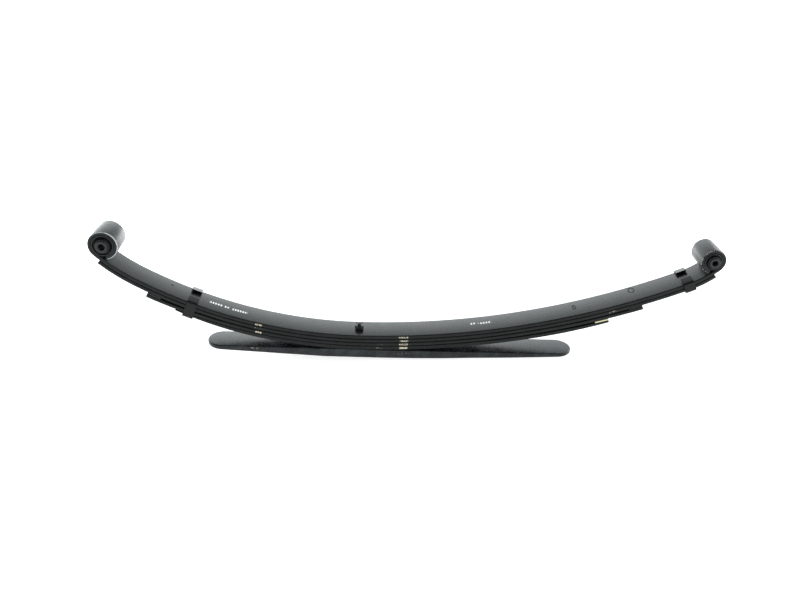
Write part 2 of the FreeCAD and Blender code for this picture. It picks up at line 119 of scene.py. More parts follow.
class SpringFinish(bpy.types.PropertyGroup):
    """Colours of the spring"""

    paint: colour("Paint", "Satin paint of the leaves", (0.0040, 0.0048, 0.0050))
    dust: colour("Dust", "Grey film that lies in patches on the paint", (0.013, 0.016, 0.016))
    # Partly dust and partly painted sheen: lighter and bluer than the other leaves' film, standing in for
    # the bluish light that the overload leaf reflects
    overload_dust_and_sheen: colour("Overload dust", "Bluish film on the overload leaf", (0.041, 0.052, 0.059))
    specks: colour("Specks", "Grit caught in the leaves' paint", (0.16, 0.165, 0.155))
    pressed: colour("Pressed marks", "Dirt in the main leaf's pressed marks", (0.003, 0.003, 0.003))
    strap_paint: colour("Strap paint", "Glossier paint of the clips", (0.0028, 0.0030, 0.0033))
    stencil: colour("Stencil", "Plain white ticks on the main leaf", (0.80, 0.80, 0.76))
    dabs: colour("Dabs", "Cream paint dabs on the edges of the leaves", (0.62, 0.56, 0.42))
    bolt: colour("Bolt", "Black finish of the bolt, the nut and the rivets", (0.004, 0.004, 0.0045))
    bolt_film: colour("Bolt film", "Grey film on that finish", (0.016, 0.016, 0.016))
    rubber: colour("Rubber", "Moulded rubber of the bushes", (0.006, 0.006, 0.0065))
    bloom: colour("Bloom", "Paler bloom on the rubber", (0.018, 0.017, 0.020))
    # Painted highlight: this pale colour makes a band round the rims of the eyes, standing in for light
    # caught on their rounded outer edges
    rim_highlight: colour("Worn rim", "Thinly covered steel round the rims of the eyes", (0.42, 0.42, 0.43))
    shell: colour("Shell", "Steel of the bushes' outer sleeves", (0.030, 0.030, 0.032))
    oxide: colour("Oxide", "Brown oxide on the outer sleeves", (0.020, 0.016, 0.014))
    core: colour("Core", "Dark phosphated steel of the inner sleeves", (0.016, 0.015, 0.018))
    phosphate: colour("Phosphate", "Paler phosphate on the inner sleeves", (0.036, 0.033, 0.038))
    pale_liner: colour("Pale liner", "Moulded friction liner on the fourth leaf", (0.80, 0.74, 0.42))
    pale_stain: colour("Pale liner stain", "Mustard stain on the pale liner", (0.42, 0.30, 0.05))
    dark_liner: colour("Dark liner", "Moulded friction liners on the third leaf", (0.016, 0.016, 0.018))
    dark_stain: colour("Dark liner stain", "Dirt on the dark liners", (0.012, 0.012, 0.012))


class SpringStudio(bpy.types.PropertyGroup):
    """Light and floor of the studio"""

    floor: colour("Floor", "Plain floor under the spring", (0.55, 0.55, 0.55))
    floor_glow: FloatProperty(
        name="Floor glow", description="Added brightness of the floor at the spring", default=0.80, min=0)
    far_glow: FloatProperty(
        name="Far glow", description="Added brightness of the floor beyond it", default=4.5, min=0.01)
    floor_tilt: FloatProperty(
        name="Floor tilt", description="Slope of the floor on which the free spring rests",
        default=math.radians(2.93), subtype="ANGLE")
    overhead: FloatProperty(
        name="Overhead", description="Brightness of the studio overhead", default=0.40, min=0)
    backdrop: FloatProperty(
        name="Backdrop", description="Added brightness of the studio's far wall", default=2.9, min=0)
    side_walls: FloatProperty(
        name="Side walls", description="Added brightness of the studio's side walls", default=3.4, min=0)
    lamp: FloatProperty(
        name="Lamp", description="Power of the left lamp. The right one has 1.6 times as much",
        default=14.0, min=0, unit="POWER")


def sizes():
    """The spring's sizes, as they are set."""
    return bpy.context.scene.leaf_spring_sizes


def finish():
    """The spring's colours, as they are set."""
    return bpy.context.scene.leaf_spring_finish


def studio():
    """The studio's light and floor, as they are set."""
    return bpy.context.scene.leaf_spring_studio


def of_end(values, end):
    """One end's value of a front and rear pair."""
    return values[0] if end == "front" else values[1]


# Shader nodes

class Field:
    """A socket whose value varies over a surface, with arithmetic that adds Math nodes."""

    def __init__(self, nodes, made, output):
        self.nodes = nodes
        self.made = made
        self.socket = made.outputs[output]

    def math(self, operation, *values):
        """The result of one Math node."""
        return self.nodes.node("ShaderNodeMath", {"operation": operation}, dict(enumerate(values)))

    def __add__(self, other):
        return self.math("ADD", self, other)

    def __radd__(self, other):
        return self.math("ADD", other, self)

    def __sub__(self, other):
        return self.math("SUBTRACT", self, other)

    def __rsub__(self, other):
        return self.math("SUBTRACT", other, self)

    def __mul__(self, other):
        return self.math("MULTIPLY", self, other)

    def __rmul__(self, other):
        return self.math("MULTIPLY", other, self)

    def __truediv__(self, other):
        return self.math("DIVIDE", self, other)

    def __pow__(self, other):
        return self.math("POWER", self, other)

    def __lt__(self, other):
        return self.math("LESS_THAN", self, other)

    def __abs__(self):
        return self.math("ABSOLUTE", self)

    def fraction(self):
        """What is left over the next lower whole number."""
        return self.math("FRACT", self)

    def larger(self, other):
        """The larger of two values."""
        return self.math("MAXIMUM", self, other)

    def rise(self, low, high):
        """0 below low, 1 above high, and a soft step between."""
        inputs = {"Value": self, "From Min": low, "From Max": high}
        return self.nodes.node("ShaderNodeMapRange", {"interpolation_type": "SMOOTHSTEP"}, inputs)

    def within(self, low, high, soft):
        """1 between low and high, with soft edges."""
        return self.rise(low - soft, low + soft) * (1 - self.rise(high - soft, high + soft))

    def part(self, output):
        """Another output of the same node."""
        return Field(self.nodes, self.made, output)


class Nodes:
    """The nodes of one material or of the world."""

    def __init__(self, tree):
        self.tree = tree

    def node(self, kind, settings=None, inputs=None, output=0):
        """A node from its type, its settings and the values or links of its sockets."""
        made = self.tree.nodes.new(kind)
        for name, value in (settings or {}).items():
            setattr(made, name, value)
        for name, value in (inputs or {}).items():
            self.feed(made.inputs[name], value)
        return Field(self, made, output)

    def feed(self, socket, value):
        """Links a varying value to a socket, or sets a plain one on it."""
        if isinstance(value, Field):
            self.tree.links.new(value.socket, socket)
        else:
            socket.default_value = value

    def place(self):
        """The place of each point of an object."""
        return self.node("ShaderNodeTexCoord", output="Object")

    def noise(self, where, scale, detail=3.0, roughness=0.55):
        """Cloudy noise from 0 to 1."""
        inputs = {"Vector": where, "Scale": scale, "Detail": detail, "Roughness": roughness}
        return self.node("ShaderNodeTexNoise", None, inputs)

    def cells(self, where, scale):
        """Distance from the middle of the nearest cell."""
        return self.node("ShaderNodeTexVoronoi", None, {"Vector": where, "Scale": scale})

    def stretched(self, where, factors):
        """A vector times a factor in each direction."""
        return self.node("ShaderNodeVectorMath", {"operation": "MULTIPLY"}, {0: where, 1: factors})

    def mixed(self, factor, first, second):
        """The first colour where the factor is 0, and the second where it is 1."""
        return self.node("ShaderNodeMix", {"data_type": "RGBA"}, {0: factor, 6: first, 7: second}, 2)

    def bump(self, height, distance, strength=1.0):
        """The normal of a surface with that relief."""
        inputs = {"Height": height, "Distance": distance, "Strength": strength}
        return self.node("ShaderNodeBump", None, inputs)


def rgba(value):
    """A colour with full cover."""
    return (*value, 1.0)


def material(name, build):
    """The material of that name. Its build function gives its surface's sockets, and runs only once."""
    found = bpy.data.materials.get(name)
    if found:
        return found
    made = bpy.data.materials.new(name)
    made.use_nodes = True
    nodes = Nodes(made.node_tree)
    surface = made.node_tree.nodes["Principled BSDF"]
    for socket, value in build(nodes).items():
        nodes.feed(surface.inputs[socket], value)
    return made


def patch(along, around, u_low, u_high, v_low, v_high):
    """A soft-edged patch of a leaf's surface, by length along it and way round it."""
    return along.within(u_low, u_high, 0.0006) * around.within(v_low, v_high, 0.0006)


def side_range(depth_low, depth_high, thickness):
    """The near side's range on the way round a leaf, from depths below its upper surface."""
    half = sizes().leaf_width / 2
    return half + thickness - depth_high, half + thickness - depth_low


def top_place(across, thickness):
    """A place on a leaf's upper surface, as the way round the leaf."""
    return sizes().leaf_width + thickness + across


# (from, to, low side, high side, pitch) of rows of plain ticks on the main leaf's upper surface
TICK_ROWS = (
    (-0.3835, -0.3518, -0.0040, 0.0040, 0.0068),
    (-0.3452, -0.3330, -0.0050, 0.0030, 0.0068),
    (-0.3252, -0.2865, -0.0065, 0.0020, 0.0064),
    (0.2860, 0.3005, -0.0010, 0.0080, 0.0073),
    (0.3040, 0.3080, 0.0015, 0.0045, 0.0300),
    (0.3110, 0.3390, -0.0030, 0.0060, 0.0070),
)
# (along, across, radius, stretch across) of marks pressed into the main leaf. A radius of 0 is a pit.
PRESSED_MARKS = (
    (-0.4840, 0.0085, 0.0, 1.4),
    (0.5530, 0.0020, 0.0036, 2.6),
    (0.7035, 0.0155, 0.0068, 1.8),
)
# Slope of the main leaf where the painted highlight round the rim of its eye starts, and how much of each
# rim is left without that painted highlight
RIM_START = math.radians(118)
RIM_HIGHLIGHT_GAPS = {"front": 0.34, "rear": 0.50}
# (from, to, depth from, depth to, cover) of paint dabs on each leaf's near side
DABS = {
    "main": ((0.1010, 0.1245, 0.0030, 0.0075, 0.55), (-0.2615, -0.2440, 0.0030, 0.0075, 0.62)),
    "second": ((0.1030, 0.1245, 0.0030, 0.0072, 0.55), (-0.2595, -0.2455, 0.0030, 0.0065, 0.30),
               (0.6280, 0.6560, 0.0025, 0.0060, 0.30)),
    "third": ((0.1025, 0.1240, 0.0028, 0.0075, 0.62), (-0.2610, -0.2455, 0.0026, 0.0076, 0.70),
              (0.0450, 0.0590, 0.0030, 0.0070, 0.22)),
    "fourth": ((0.1025, 0.1240, 0.0026, 0.0078, 0.74), (0.0440, 0.0590, 0.0030, 0.0070, 0.26)),
    "overload": ((0.1010, 0.1290, 0.0060, 0.0110, 0.22), (-0.2740, -0.2540, 0.0050, 0.0085, 0.45)),
}


def pressed_marks(along, around, thickness):
    """How much each point lies in a pressed mark: a small pit or an oval ring."""
    total = 0.0
    for place, across, radius, stretch in PRESSED_MARKS:
        offset = (along - place) ** 2 + ((around - top_place(across, thickness)) / stretch) ** 2
        distance = offset ** 0.5
        if radius:
            total = distance.within(radius - 0.0013, radius + 0.0013, 0.0009) + total
        else:
            total = (1 - distance.rise(0.0022, 0.0044)) + total
    return total


def rim_highlights(along, around, wear_and_glint):
    """How much each point lies in the painted highlight round the rim of an eye, where its face meets its
    outside: a pale band that stands in for light caught on the rounded edge.
    """
    total = 0.0
    corner = sizes().leaf_width / 2 + 0.0002
    rim = 1 - abs(around - corner).rise(0.0012, 0.0020)
    for end, side in ENDS.items():
        start, turned, radius, _ = main_line(end).arcs[-1]
        first = start + radius * (RIM_START - turned)
        # Painted highlight: the noise leaves gaps in the pale band round each rim
        highlit = wear_and_glint.rise(RIM_HIGHLIGHT_GAPS[end], RIM_HIGHLIGHT_GAPS[end] + 0.08)
        total = rim * (along * side).rise(first, first + 0.012) * highlit + total
    return total


def tick_marks(along, around, thickness):
    """How much each point lies in a stencilled tick."""
    total = 0.0
    for start, end, low, high, pitch in TICK_ROWS:
        row = patch(along, around, start, end, top_place(low, thickness), top_place(high, thickness))
        total = total + row * (((along - start) / pitch).fraction() < 0.62)
    return total


def leaf_paint(leaf, thickness):
    """Satin black paint over rolled steel, with one leaf's own marks."""
    def build(nodes):
        run = nodes.node("ShaderNodeUVMap", {"uv_map": "run"})
        split = nodes.node("ShaderNodeSeparateXYZ", None, {0: run})
        along, around = split, split.part(1)
        seed = 0.37 * len(leaf)
        where = nodes.node("ShaderNodeCombineXYZ", None, {0: along, 1: around, 2: seed})
        patches = nodes.noise(where, 26.0, 4.0, 0.6)
        mottle = nodes.noise(where, 210.0, 4.0, 0.65)
        grain = nodes.noise(where, 1500.0, 2.0)
        streaks = nodes.noise(nodes.stretched(where, (14.0, 420.0, 1.0)), 1.0, 3.0, 0.6)
        cross = nodes.noise(nodes.stretched(where, (330.0, 22.0, 1.0)), 1.0, 2.0, 0.6)
        pits = 1 - nodes.cells(where, 240.0).rise(0.10, 0.28)
        film = patches.rise(0.38, 0.72) * 0.45 + mottle.rise(0.46, 0.78) * 0.40
        film = film + streaks.rise(0.52, 0.8) * 0.25
        specks = (1 - nodes.cells(where, 95.0).rise(0.035, 0.06)) * mottle.rise(0.50, 0.60)
        # On the overload leaf the film is partly dust and partly painted sheen, lighter and bluer for the
        # light it reflects
        dust = finish().overload_dust_and_sheen if leaf == "overload" else finish().dust
        paint = nodes.mixed(film, rgba(finish().paint), rgba(dust))
        paint = nodes.mixed(specks * 0.5, paint, rgba(finish().specks))
        wear_and_glint = nodes.noise(where, 380.0, 3.0, 0.7)
        marked = 0.0
        for start, end, high, low, cover in DABS.get(leaf, ()):
            v_low, v_high = side_range(high, low, thickness)
            dab = patch(along, around, start, end, v_low, v_high)
            marked = dab * wear_and_glint.rise(0.66 - 0.34 * cover, 0.74 - 0.34 * cover) + marked
        paint = nodes.mixed(marked, paint, rgba(finish().dabs))
        height = mottle * 0.5 + grain * 0.22 + streaks * 0.35 + cross * 0.5 - pits * 0.35
        rough = 0.23 + 0.14 * film + 0.06 * mottle
        if leaf == "main":
            ticks = tick_marks(along, around, thickness) * wear_and_glint.rise(0.36, 0.46)
            dents = pressed_marks(along, around, thickness)
            paint = nodes.mixed(ticks, paint, rgba(finish().stencil))
            paint = nodes.mixed(dents * 0.9, paint, rgba(finish().pressed))
            rough = rough + 0.3 * ticks + 0.4 * dents
            height = height - dents * 1.6
            # Painted highlight: a pale band round the rims of the eyes, for light caught on their rounded
            # edges
            rims = rim_highlights(along, around, wear_and_glint)
            paint = nodes.mixed(rims, paint, rgba(finish().rim_highlight))
        normal = nodes.bump(height, 0.0004, 0.65)
        return {
            "Base Color": paint, "Roughness": rough, "Normal": normal,
            "Specular IOR Level": 0.31 if leaf == "overload" else 0.22,
        }
    return material("paint_" + leaf + "_leaf", build)


def strap_paint():
    """Glossier black paint of the folded straps."""
    def build(nodes):
        where = nodes.place()
        mottle = nodes.noise(where, 160.0, 4.0, 0.6)
        peel = nodes.noise(where, 900.0, 2.0)
        brushed = nodes.noise(nodes.stretched(where, (60.0, 900.0, 60.0)), 1.0, 3.0)
        film = mottle.rise(0.45, 0.8) * 0.35
        paint = nodes.mixed(film, rgba(finish().strap_paint), rgba(finish().dust))
        return {
            "Base Color": paint, "Roughness": 0.17 + 0.12 * mottle, "Specular IOR Level": 0.26,
            "Normal": nodes.bump(mottle * 0.6 + peel * 0.25 + brushed * 0.2, 0.0002, 0.5),
        }
    return material("paint_strap", build)


def bolt_steel():
    """Black finished steel of the bolt, the nut and the rivets."""
    def build(nodes):
        where = nodes.place()
        mottle = nodes.noise(where, 420.0, 4.0, 0.65)
        paint = nodes.mixed(mottle.rise(0.5, 0.75) * 0.4, rgba(finish().bolt), rgba(finish().bolt_film))
        return {
            "Base Color": paint, "Roughness": 0.30 + 0.25 * mottle,
            "Normal": nodes.bump(mottle, 0.00015, 0.6),
        }
    return material("steel_bolt", build)


def bush_rubber():
    """Moulded black rubber, with a fine texture and a little bloom."""
    def build(nodes):
        where = nodes.place()
        bloom = nodes.noise(where, 70.0, 3.0)
        grain = nodes.noise(where, 1300.0, 3.0, 0.7)
        tone = nodes.mixed(bloom.rise(0.45, 0.75) * 0.5, rgba(finish().rubber), rgba(finish().bloom))
        return {
            "Base Color": tone, "Roughness": 0.42 + 0.2 * bloom, "Specular IOR Level": 0.25,
            "Normal": nodes.bump(grain, 0.00012, 0.5),
        }
    return material("rubber_bush", build)


def sleeve_steel():
    """Turned steel with a dark oxide."""
    def build(nodes):
        where = nodes.place()
        turned = nodes.noise(nodes.stretched(where, (25.0, 2600.0, 25.0)), 1.0, 3.0, 0.6)
        oxide = nodes.noise(where, 120.0, 4.0, 0.7)
        rusty = oxide.rise(0.5, 0.8)
        tone = nodes.mixed(rusty * 0.6, rgba(finish().shell), rgba(finish().oxide))
        return {
            "Base Color": tone, "Metallic": 0.5 - 0.3 * rusty, "Roughness": 0.30 + 0.16 * turned,
            "Normal": nodes.bump(turned + 0.4 * oxide, 0.00008, 0.5),
        }
    return material("steel_sleeve", build)


def core_steel():
    """Dark phosphated steel, with turning marks on its faces."""
    def build(nodes):
        where = nodes.place()
        crystal = nodes.cells(where, 1500.0)
        stain = nodes.noise(where, 150.0, 4.0, 0.6)
        tone = nodes.mixed(stain.rise(0.4, 0.8) * 0.7, rgba(finish().core), rgba(finish().phosphate))
        return {
            "Base Color": tone, "Metallic": 0.35 + 0.2 * stain, "Roughness": 0.42 + 0.2 * stain,
            "Normal": nodes.bump(crystal * 0.4 + stain, 0.0001, 0.5),
        }
    return material("steel_core", build)


def liner_plastic(name, tone, stained, overspray):
    """Moulded friction liner, stained in places, with black overspray up to a length along the leaf."""
    def build(nodes):
        run = nodes.node("ShaderNodeUVMap", {"uv_map": "run"})
        blotch = nodes.noise(run, 160.0, 3.0, 0.6)
        stain = nodes.noise(run, 420.0, 3.0, 0.6)
        grain = nodes.noise(run, 1800.0, 2.0)
        along = nodes.node("ShaderNodeSeparateXYZ", None, {0: run})
        moulded = nodes.mixed(stain.rise(0.50, 0.60), rgba(tone), rgba(stained))
        clean = (blotch + (along - overspray) * 60.0).rise(0.42, 0.52)
        return {
            "Base Color": nodes.mixed(clean, rgba(finish().paint), moulded),
            "Roughness": 0.42 + 0.15 * stain, "Normal": nodes.bump(grain, 0.0001, 0.4),
        }
    return material(name, build)


# Shapes

CLAMPED = 0.040      # half the length of each leaf that the bolt clamps level
BOLT_HOLE = 0.00625  # radius of the hole for the bolt
TIP_EASE = 0.0009    # bevel at a leaf's tip
JOIN_ROW = 0.0005    # how near a join the next row of points lies, so that the join stays crisp
ROW_STEP = 0.010     # space between rows of points along a leaf


class Line:
    """A leaf's upper line in one arm: tangent arcs that start level at the bolt and curl upwards."""

    def __init__(self, end, level, arcs):
        self.side = ENDS[end]
        self.arcs = []
        self.length = 0.0
        centre = complex(0.0, level + arcs[0][0])
        turned = 0.0
        previous = arcs[0][0]
        for radius, angle in arcs:
            centre += (previous - radius) * complex(math.sin(turned), -math.cos(turned))
            self.arcs.append((self.length, turned, radius, centre))
            self.length += radius * angle
            turned += angle
            previous = radius

    def place(self, length, across, depth):
        """The point at a length along the line, a way across the leaf and a depth below the line."""
        start, turned, radius, centre = [arc for arc in self.arcs if arc[0] <= max(length, 0.0)][-1]
        angle = turned + (length - start) / radius
        reach = radius + depth
        x = centre.real + reach * math.sin(angle)
        return Vector((self.side * x, across, centre.imag - reach * math.cos(angle)))


def turn_up_radius(end):
    """Radius of the arc that is tangent to the camber and, from inside, to the inner face of the eye."""
    s = sizes()
    camber = of_end(s.camber, end)
    start = of_end(s.turn_up, end) / camber
    inner = of_end(s.eye_radius, end) - s.leaf_thickness
    across = abs(EYE_CENTRES[end].x)
    below = MAIN_TOP + camber - EYE_CENTRES[end].z
    reach = math.hypot(across, below)
    facing = reach * math.cos(math.atan2(across, below) - start)
    return (camber ** 2 + reach ** 2 - 2 * camber * facing - inner ** 2) / (2 * (camber - facing - inner))


def main_line(end):
    """The main leaf's line: camber, turn-up and eye."""
    s = sizes()
    camber = of_end(s.camber, end)
    start = of_end(s.turn_up, end) / camber
    turn_up = turn_up_radius(end)
    centre_x = (camber - turn_up) * math.sin(start)
    centre_z = MAIN_TOP + camber - (camber - turn_up) * math.cos(start)
    tangent = math.atan2(abs(EYE_CENTRES[end].x) - centre_x, centre_z - EYE_CENTRES[end].z)
    inner = of_end(s.eye_radius, end) - s.leaf_thickness
    rolled = 2 * math.pi - s.roll_end
    return Line(end, MAIN_TOP, [(camber, start), (turn_up, tangent - start), (inner, rolled)])


def flatter(radius_above, length, gap):
    """Radius of a line that starts against the one above and leaves a gap from it at a length."""
    return 1 / (1 / radius_above - 2 * gap / length ** 2)


def third_line(end):
    """The third leaf's line, a little flatter than the second leaf's."""
    s = sizes()
    length = of_end(s.third_length, end)
    radius = flatter(of_end(s.camber, end) + 2 * s.leaf_thickness, length, of_end(s.third_gap, end))
    return Line(end, MAIN_TOP - 2 * s.leaf_thickness, [(radius, length / radius)])


def fourth_line(end):
    """The fourth leaf's line, which starts against the third leaf."""
    s = sizes()
    length = of_end(s.fourth_length, end)
    above = third_line(end).arcs[0][2] + s.leaf_thickness
    radius = flatter(above, length, of_end(s.fourth_gap, end))
    return Line(end, MAIN_TOP - 3 * s.leaf_thickness, [(radius, length / radius)])


# (from, to, body before, body after) of the stretches over which each arm bends
STRETCHES = {
    "front": ((CLAMPED, 0.330, "leaf_pack", "front_arm"), (0.330, 0.590, "front_arm", "front_eye")),
    "rear": ((CLAMPED, 0.445, "leaf_pack", "rear_arm"), (0.445, 0.810, "rear_arm", "rear_eye")),
}
HINGE_DEPTH = 0.015  # depth of the hinges below the main leaf's upper surface


def bend(piece, end, stretch):
    """Bakes a piece's place into its mesh. The ends of one stretch of an arm are looked up at the hinge
    depth, but nothing is done with them.
    """
    start, stop, before, after = STRETCHES[end][stretch]
    line = main_line(end)
    line.place(start, 0, HINGE_DEPTH)
    line.place(stop, 0, HINGE_DEPTH)
    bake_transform(piece)


def stands_for(piece, node):
    """Hides a frame node, the one that a piece is drawn in place of, and gives back the piece."""
    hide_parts(node)
    return piece


def mesh_object(name, mesh, finish_material, sharp=40.0):
    """Turns a bmesh into an object with smooth faces and sharp corners."""
    bmesh.ops.remove_doubles(mesh, verts=mesh.verts, dist=1e-7)
    bmesh.ops.recalc_face_normals(mesh, faces=mesh.faces)
    data = bpy.data.meshes.new(name)
    mesh.to_mesh(data)
    mesh.free()
    data.shade_smooth()
    data.set_sharp_from_angle(angle=math.radians(sharp))
    data.materials.append(finish_material)
    made = bpy.data.objects.new(name, data)
    bpy.context.scene.collection.objects.link(made)
    return made


def shell(name, rows, finish_material, ring=False, runs=None, sharp=40.0):
    """A closed mesh from rows of points, each a loop. The end rows are capped, or joined in a ring.

    The runs are each row's places in the map "run", with the far end of its last face added.
    """
    mesh = bmesh.new()
    layer = mesh.loops.layers.uv.new("run")
    loops = [[mesh.verts.new(place) for place in row] for row in rows]
    count = len(rows[0])
    steps = [(n, n + 1) for n in range(len(rows) - 1)]
    if ring:
        steps.append((len(rows) - 1, 0))
    for a, b in steps:
        for i in range(count):
            j = (i + 1) % count
            face = mesh.faces.new((loops[a][i], loops[a][j], loops[b][j], loops[b][i]))
            if runs:
                corners = (runs[a][i], runs[a][i + 1], runs[b][i + 1], runs[b][i])
                for loop, corner in zip(face.loops, corners):
                    loop[layer].uv = corner
    if not ring:
        for n in (0, -1):
            face = mesh.faces.new(loops[n])
            if runs:
                for loop, corner in zip(face.loops, runs[n]):
                    loop[layer].uv = corner
    return mesh_object(name, mesh, finish_material, sharp)


def quarter(steps):
    """Angles from 0 to a right angle."""
    return [math.pi / 2 * n / steps for n in range(steps + 1)]


def section(width, thickness, radius, inset=0.0, steps=4):
    """(across, depth, way round) of a rounded section, from under its middle round the near side."""
    half = width / 2
    radius = min(radius, thickness / 2 - 0.0001)
    points = [(0.0, thickness - inset, 0.0)]
    corners = (
        (-1, thickness - radius, 90, half),
        (-1, radius, 180, half + thickness),
        (1, radius, 270, half + thickness + width),
        (1, thickness - radius, 0, half + 2 * thickness + width),
    )
    for side, depth, start, way in corners:
        for angle in quarter(steps):
            turn = math.radians(start) + angle
            reach = radius - inset if radius > inset else 0.0
            across = side * (half - radius) + reach * math.cos(turn)
            down = depth + reach * math.sin(turn)
            share = angle / (math.pi / 2) * 2 - 1
            points.append((across, down, way + share * radius))
    return points


def thickness_of(leaf, end, length):
    """A cambered leaf's thickness at a length along it. The fourth leaf thins towards its tips."""
    s = sizes()
    if leaf != "fourth":
        return s.leaf_thickness
    start = of_end(s.fourth_taper, end)
    share = max(0.0, length - start) / (of_end(s.fourth_length, end) - start)
    return s.leaf_thickness - (s.leaf_thickness - of_end(s.fourth_tip, end)) * share ** 2


def run_of(along, outline, width, thickness):
    """A row's places in the map "run": signed length along the leaf, and way round it."""
    return [(along, way) for _, _, way in outline] + [(along, 2 * (width + thickness))]


def stations(start, stop, step, free_end):
    """(length, inset) pairs from start to stop, with a row near each join, or a bevel at a free end."""
    count = max(2, math.ceil((stop - start) / step))
    between = [(start + (stop - start) * n / count, 0.0) for n in range(1, count)]
    found = [(start, 0.0), (start + JOIN_ROW, 0.0)] + between
    if free_end:
        return found + [(stop - TIP_EASE, 0.0), (stop, TIP_EASE)]
    return found + [(stop - JOIN_ROW, 0.0), (stop, 0.0)]


def leaf_middle(leaf, lines, top, radius, paint):
    """The stretch of a leaf that the bolt clamps, with its hole."""
    s = sizes()
    rear = [ROW_STEP, 2 * ROW_STEP, 3 * ROW_STEP, CLAMPED - JOIN_ROW, CLAMPED]
    outline = section(s.leaf_width, s.leaf_thickness, radius)
    rows = []
    runs = []
    for along in [-length for length in reversed(rear)] + [0.0] + rear:
        line = lines["front"] if along < 0 else lines["rear"]
        rows.append([line.place(abs(along), across, top + depth) for across, depth, _ in outline])
        runs.append(run_of(along, outline, s.leaf_width, s.leaf_thickness))
    piece = shell(leaf + "_leaf_middle", rows, paint, runs=runs)
    drill(piece, BOLT_HOLE, -0.1, 0.2)
    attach(piece, "leaf_pack")
    return stands_for(piece, leaf + "_leaf")


def drill(piece, radius, low, high):
    """Cuts a hole on the bolt's axis through a piece."""
    mesh = bmesh.new()
    place = Matrix.Translation((0, 0, (low + high) / 2))
    bmesh.ops.create_cone(
        mesh, cap_ends=True, segments=48, radius1=radius, radius2=radius, depth=high - low, matrix=place)
    tool = mesh_object("drill", mesh, piece.data.materials[0])
    cut = piece.modifiers.new("hole", "BOOLEAN")
    cut.operation = "DIFFERENCE"
    cut.solver = "EXACT"
    cut.object = tool
    bpy.context.view_layer.update()
    seen = piece.evaluated_get(bpy.context.evaluated_depsgraph_get())
    drilled = bpy.data.meshes.new_from_object(seen)
    if len(drilled.vertices) <= len(piece.data.vertices):
        raise RuntimeError("no hole was cut in " + piece.name)
    piece.modifiers.clear()
    piece.data = drilled
    bpy.data.objects.remove(tool)


def leaf_arm(leaf, end, line, top, length, radius, paint):
    """The two bending stretches of one arm of a leaf."""
    width = sizes().leaf_width
    for number, (start, stop, _, _) in enumerate(STRETCHES[end]):
        outer = number == 1
        roll = line.arcs[-1][0] if len(line.arcs) > 1 else line.length
        if outer and length > roll:
            marks = eye_stations(line, start, length)
        else:
            marks = stations(start, length if outer else stop, ROW_STEP, outer)
        rows = []
        runs = []
        for place, inset in marks:
            thickness = thickness_of(leaf, end, place)
            outline = section(width, thickness, radius, inset)
            rows.append([line.place(place, across, top + depth) for across, depth, _ in outline])
            runs.append(run_of(line.side * place, outline, width, thickness))
        name = leaf + "_leaf_" + end + ("_outer" if outer else "_inner")
        piece = shell(name, rows, paint, runs=runs)
        bend(piece, end, number)
        stands_for(piece, leaf + "_leaf")


def eye_stations(line, start, length):
    """Stations along an arm that ends in a roll, a few degrees apart round the roll."""
    roll, _, radius, _ = line.arcs[-1]
    found = stations(start, roll, ROW_STEP, False)[:-2]
    steps = math.ceil((length - roll) / radius / math.radians(4))
    found += [(roll + (length - roll) * n / steps, 0.0) for n in range(steps)]
    return found + [(length - TIP_EASE, 0.0), (length, TIP_EASE)]


def lathe(name, centre, profile, finish_material, axis="Y", steps=96, sharp=32.0):
    """A ring turned round an axis from a closed profile of (radius, place along the axis)."""
    rows = []
    for radius, along in profile:
        row = []
        for n in range(steps):
            angle = 2 * math.pi * n / steps
            a = radius * math.cos(angle)
            b = radius * math.sin(angle)
            offset = (a, along, b) if axis == "Y" else (a, b, along)
            row.append(centre + Vector(offset))
        rows.append(row)
    return shell(name, rows, finish_material, ring=True, sharp=sharp)


def softened(corners, radius, steps=3):
    """A closed profile with each corner rounded."""
    points = [complex(*corner) for corner in corners]
    found = []
    for n, corner in enumerate(points):
        found += rounded_corner(points[n - 1], corner, points[(n + 1) % len(points)], radius, steps)
    return [(point.real, point.imag) for point in found]


def rounded_corner(before, corner, after, radius, steps):
    """Points of the arc that rounds one corner."""
    back = (before - corner) / abs(before - corner)
    on = (after - corner) / abs(after - corner)
    turn = cmath.phase(-on / back)
    reach = radius * math.tan(abs(turn) / 2)
    start = corner + back * reach
    centre = start + (-back) * (1j if turn > 0 else -1j) * radius
    return [centre + (start - centre) * cmath.rect(1, turn * n / steps) for n in range(steps + 1)]


# Pieces

class LEAF_SPRING_OT_cambered_leaves(bpy.types.Operator):
    """Build the main leaf with its eyes and the three leaves that nest under it"""

    bl_idname = "leaf_spring.cambered_leaves"
    bl_label = "Cambered Leaves"

    def execute(self, context):
        s = sizes()
        for leaf, line_of, top, radius in (
            ("main", main_line, 0.0, s.edge_round),
            ("second", main_line, s.leaf_thickness, s.edge_round),
            ("third", third_line, 0.0, s.edge_round),
            ("fourth", fourth_line, 0.0, s.thin_edge_round),
        ):
            lines = {end: line_of(end) for end in ENDS}
            paint = leaf_paint(leaf, s.leaf_thickness)
            leaf_middle(leaf, lines, top, radius, paint)
            for end, line in lines.items():
                length = of_end(s.second_length, end) if leaf == "second" else line.length
                leaf_arm(leaf, end, line, top, length, radius, paint)
        return {"FINISHED"}


class LEAF_SPRING_OT_overload_leaf(bpy.types.Operator):
    """Paint the straight overload leaf under the pack"""

    bl_idname = "leaf_spring.overload_leaf"
    bl_label = "Overload Leaf"

    def execute(self, context):
        build_overload_leaf()
        return {"FINISHED"}


LEVEL_TOP = 0.085  # half the length of the overload leaf's level top
SEAT_REAR = 0.060  # rear end of the flat seat under it
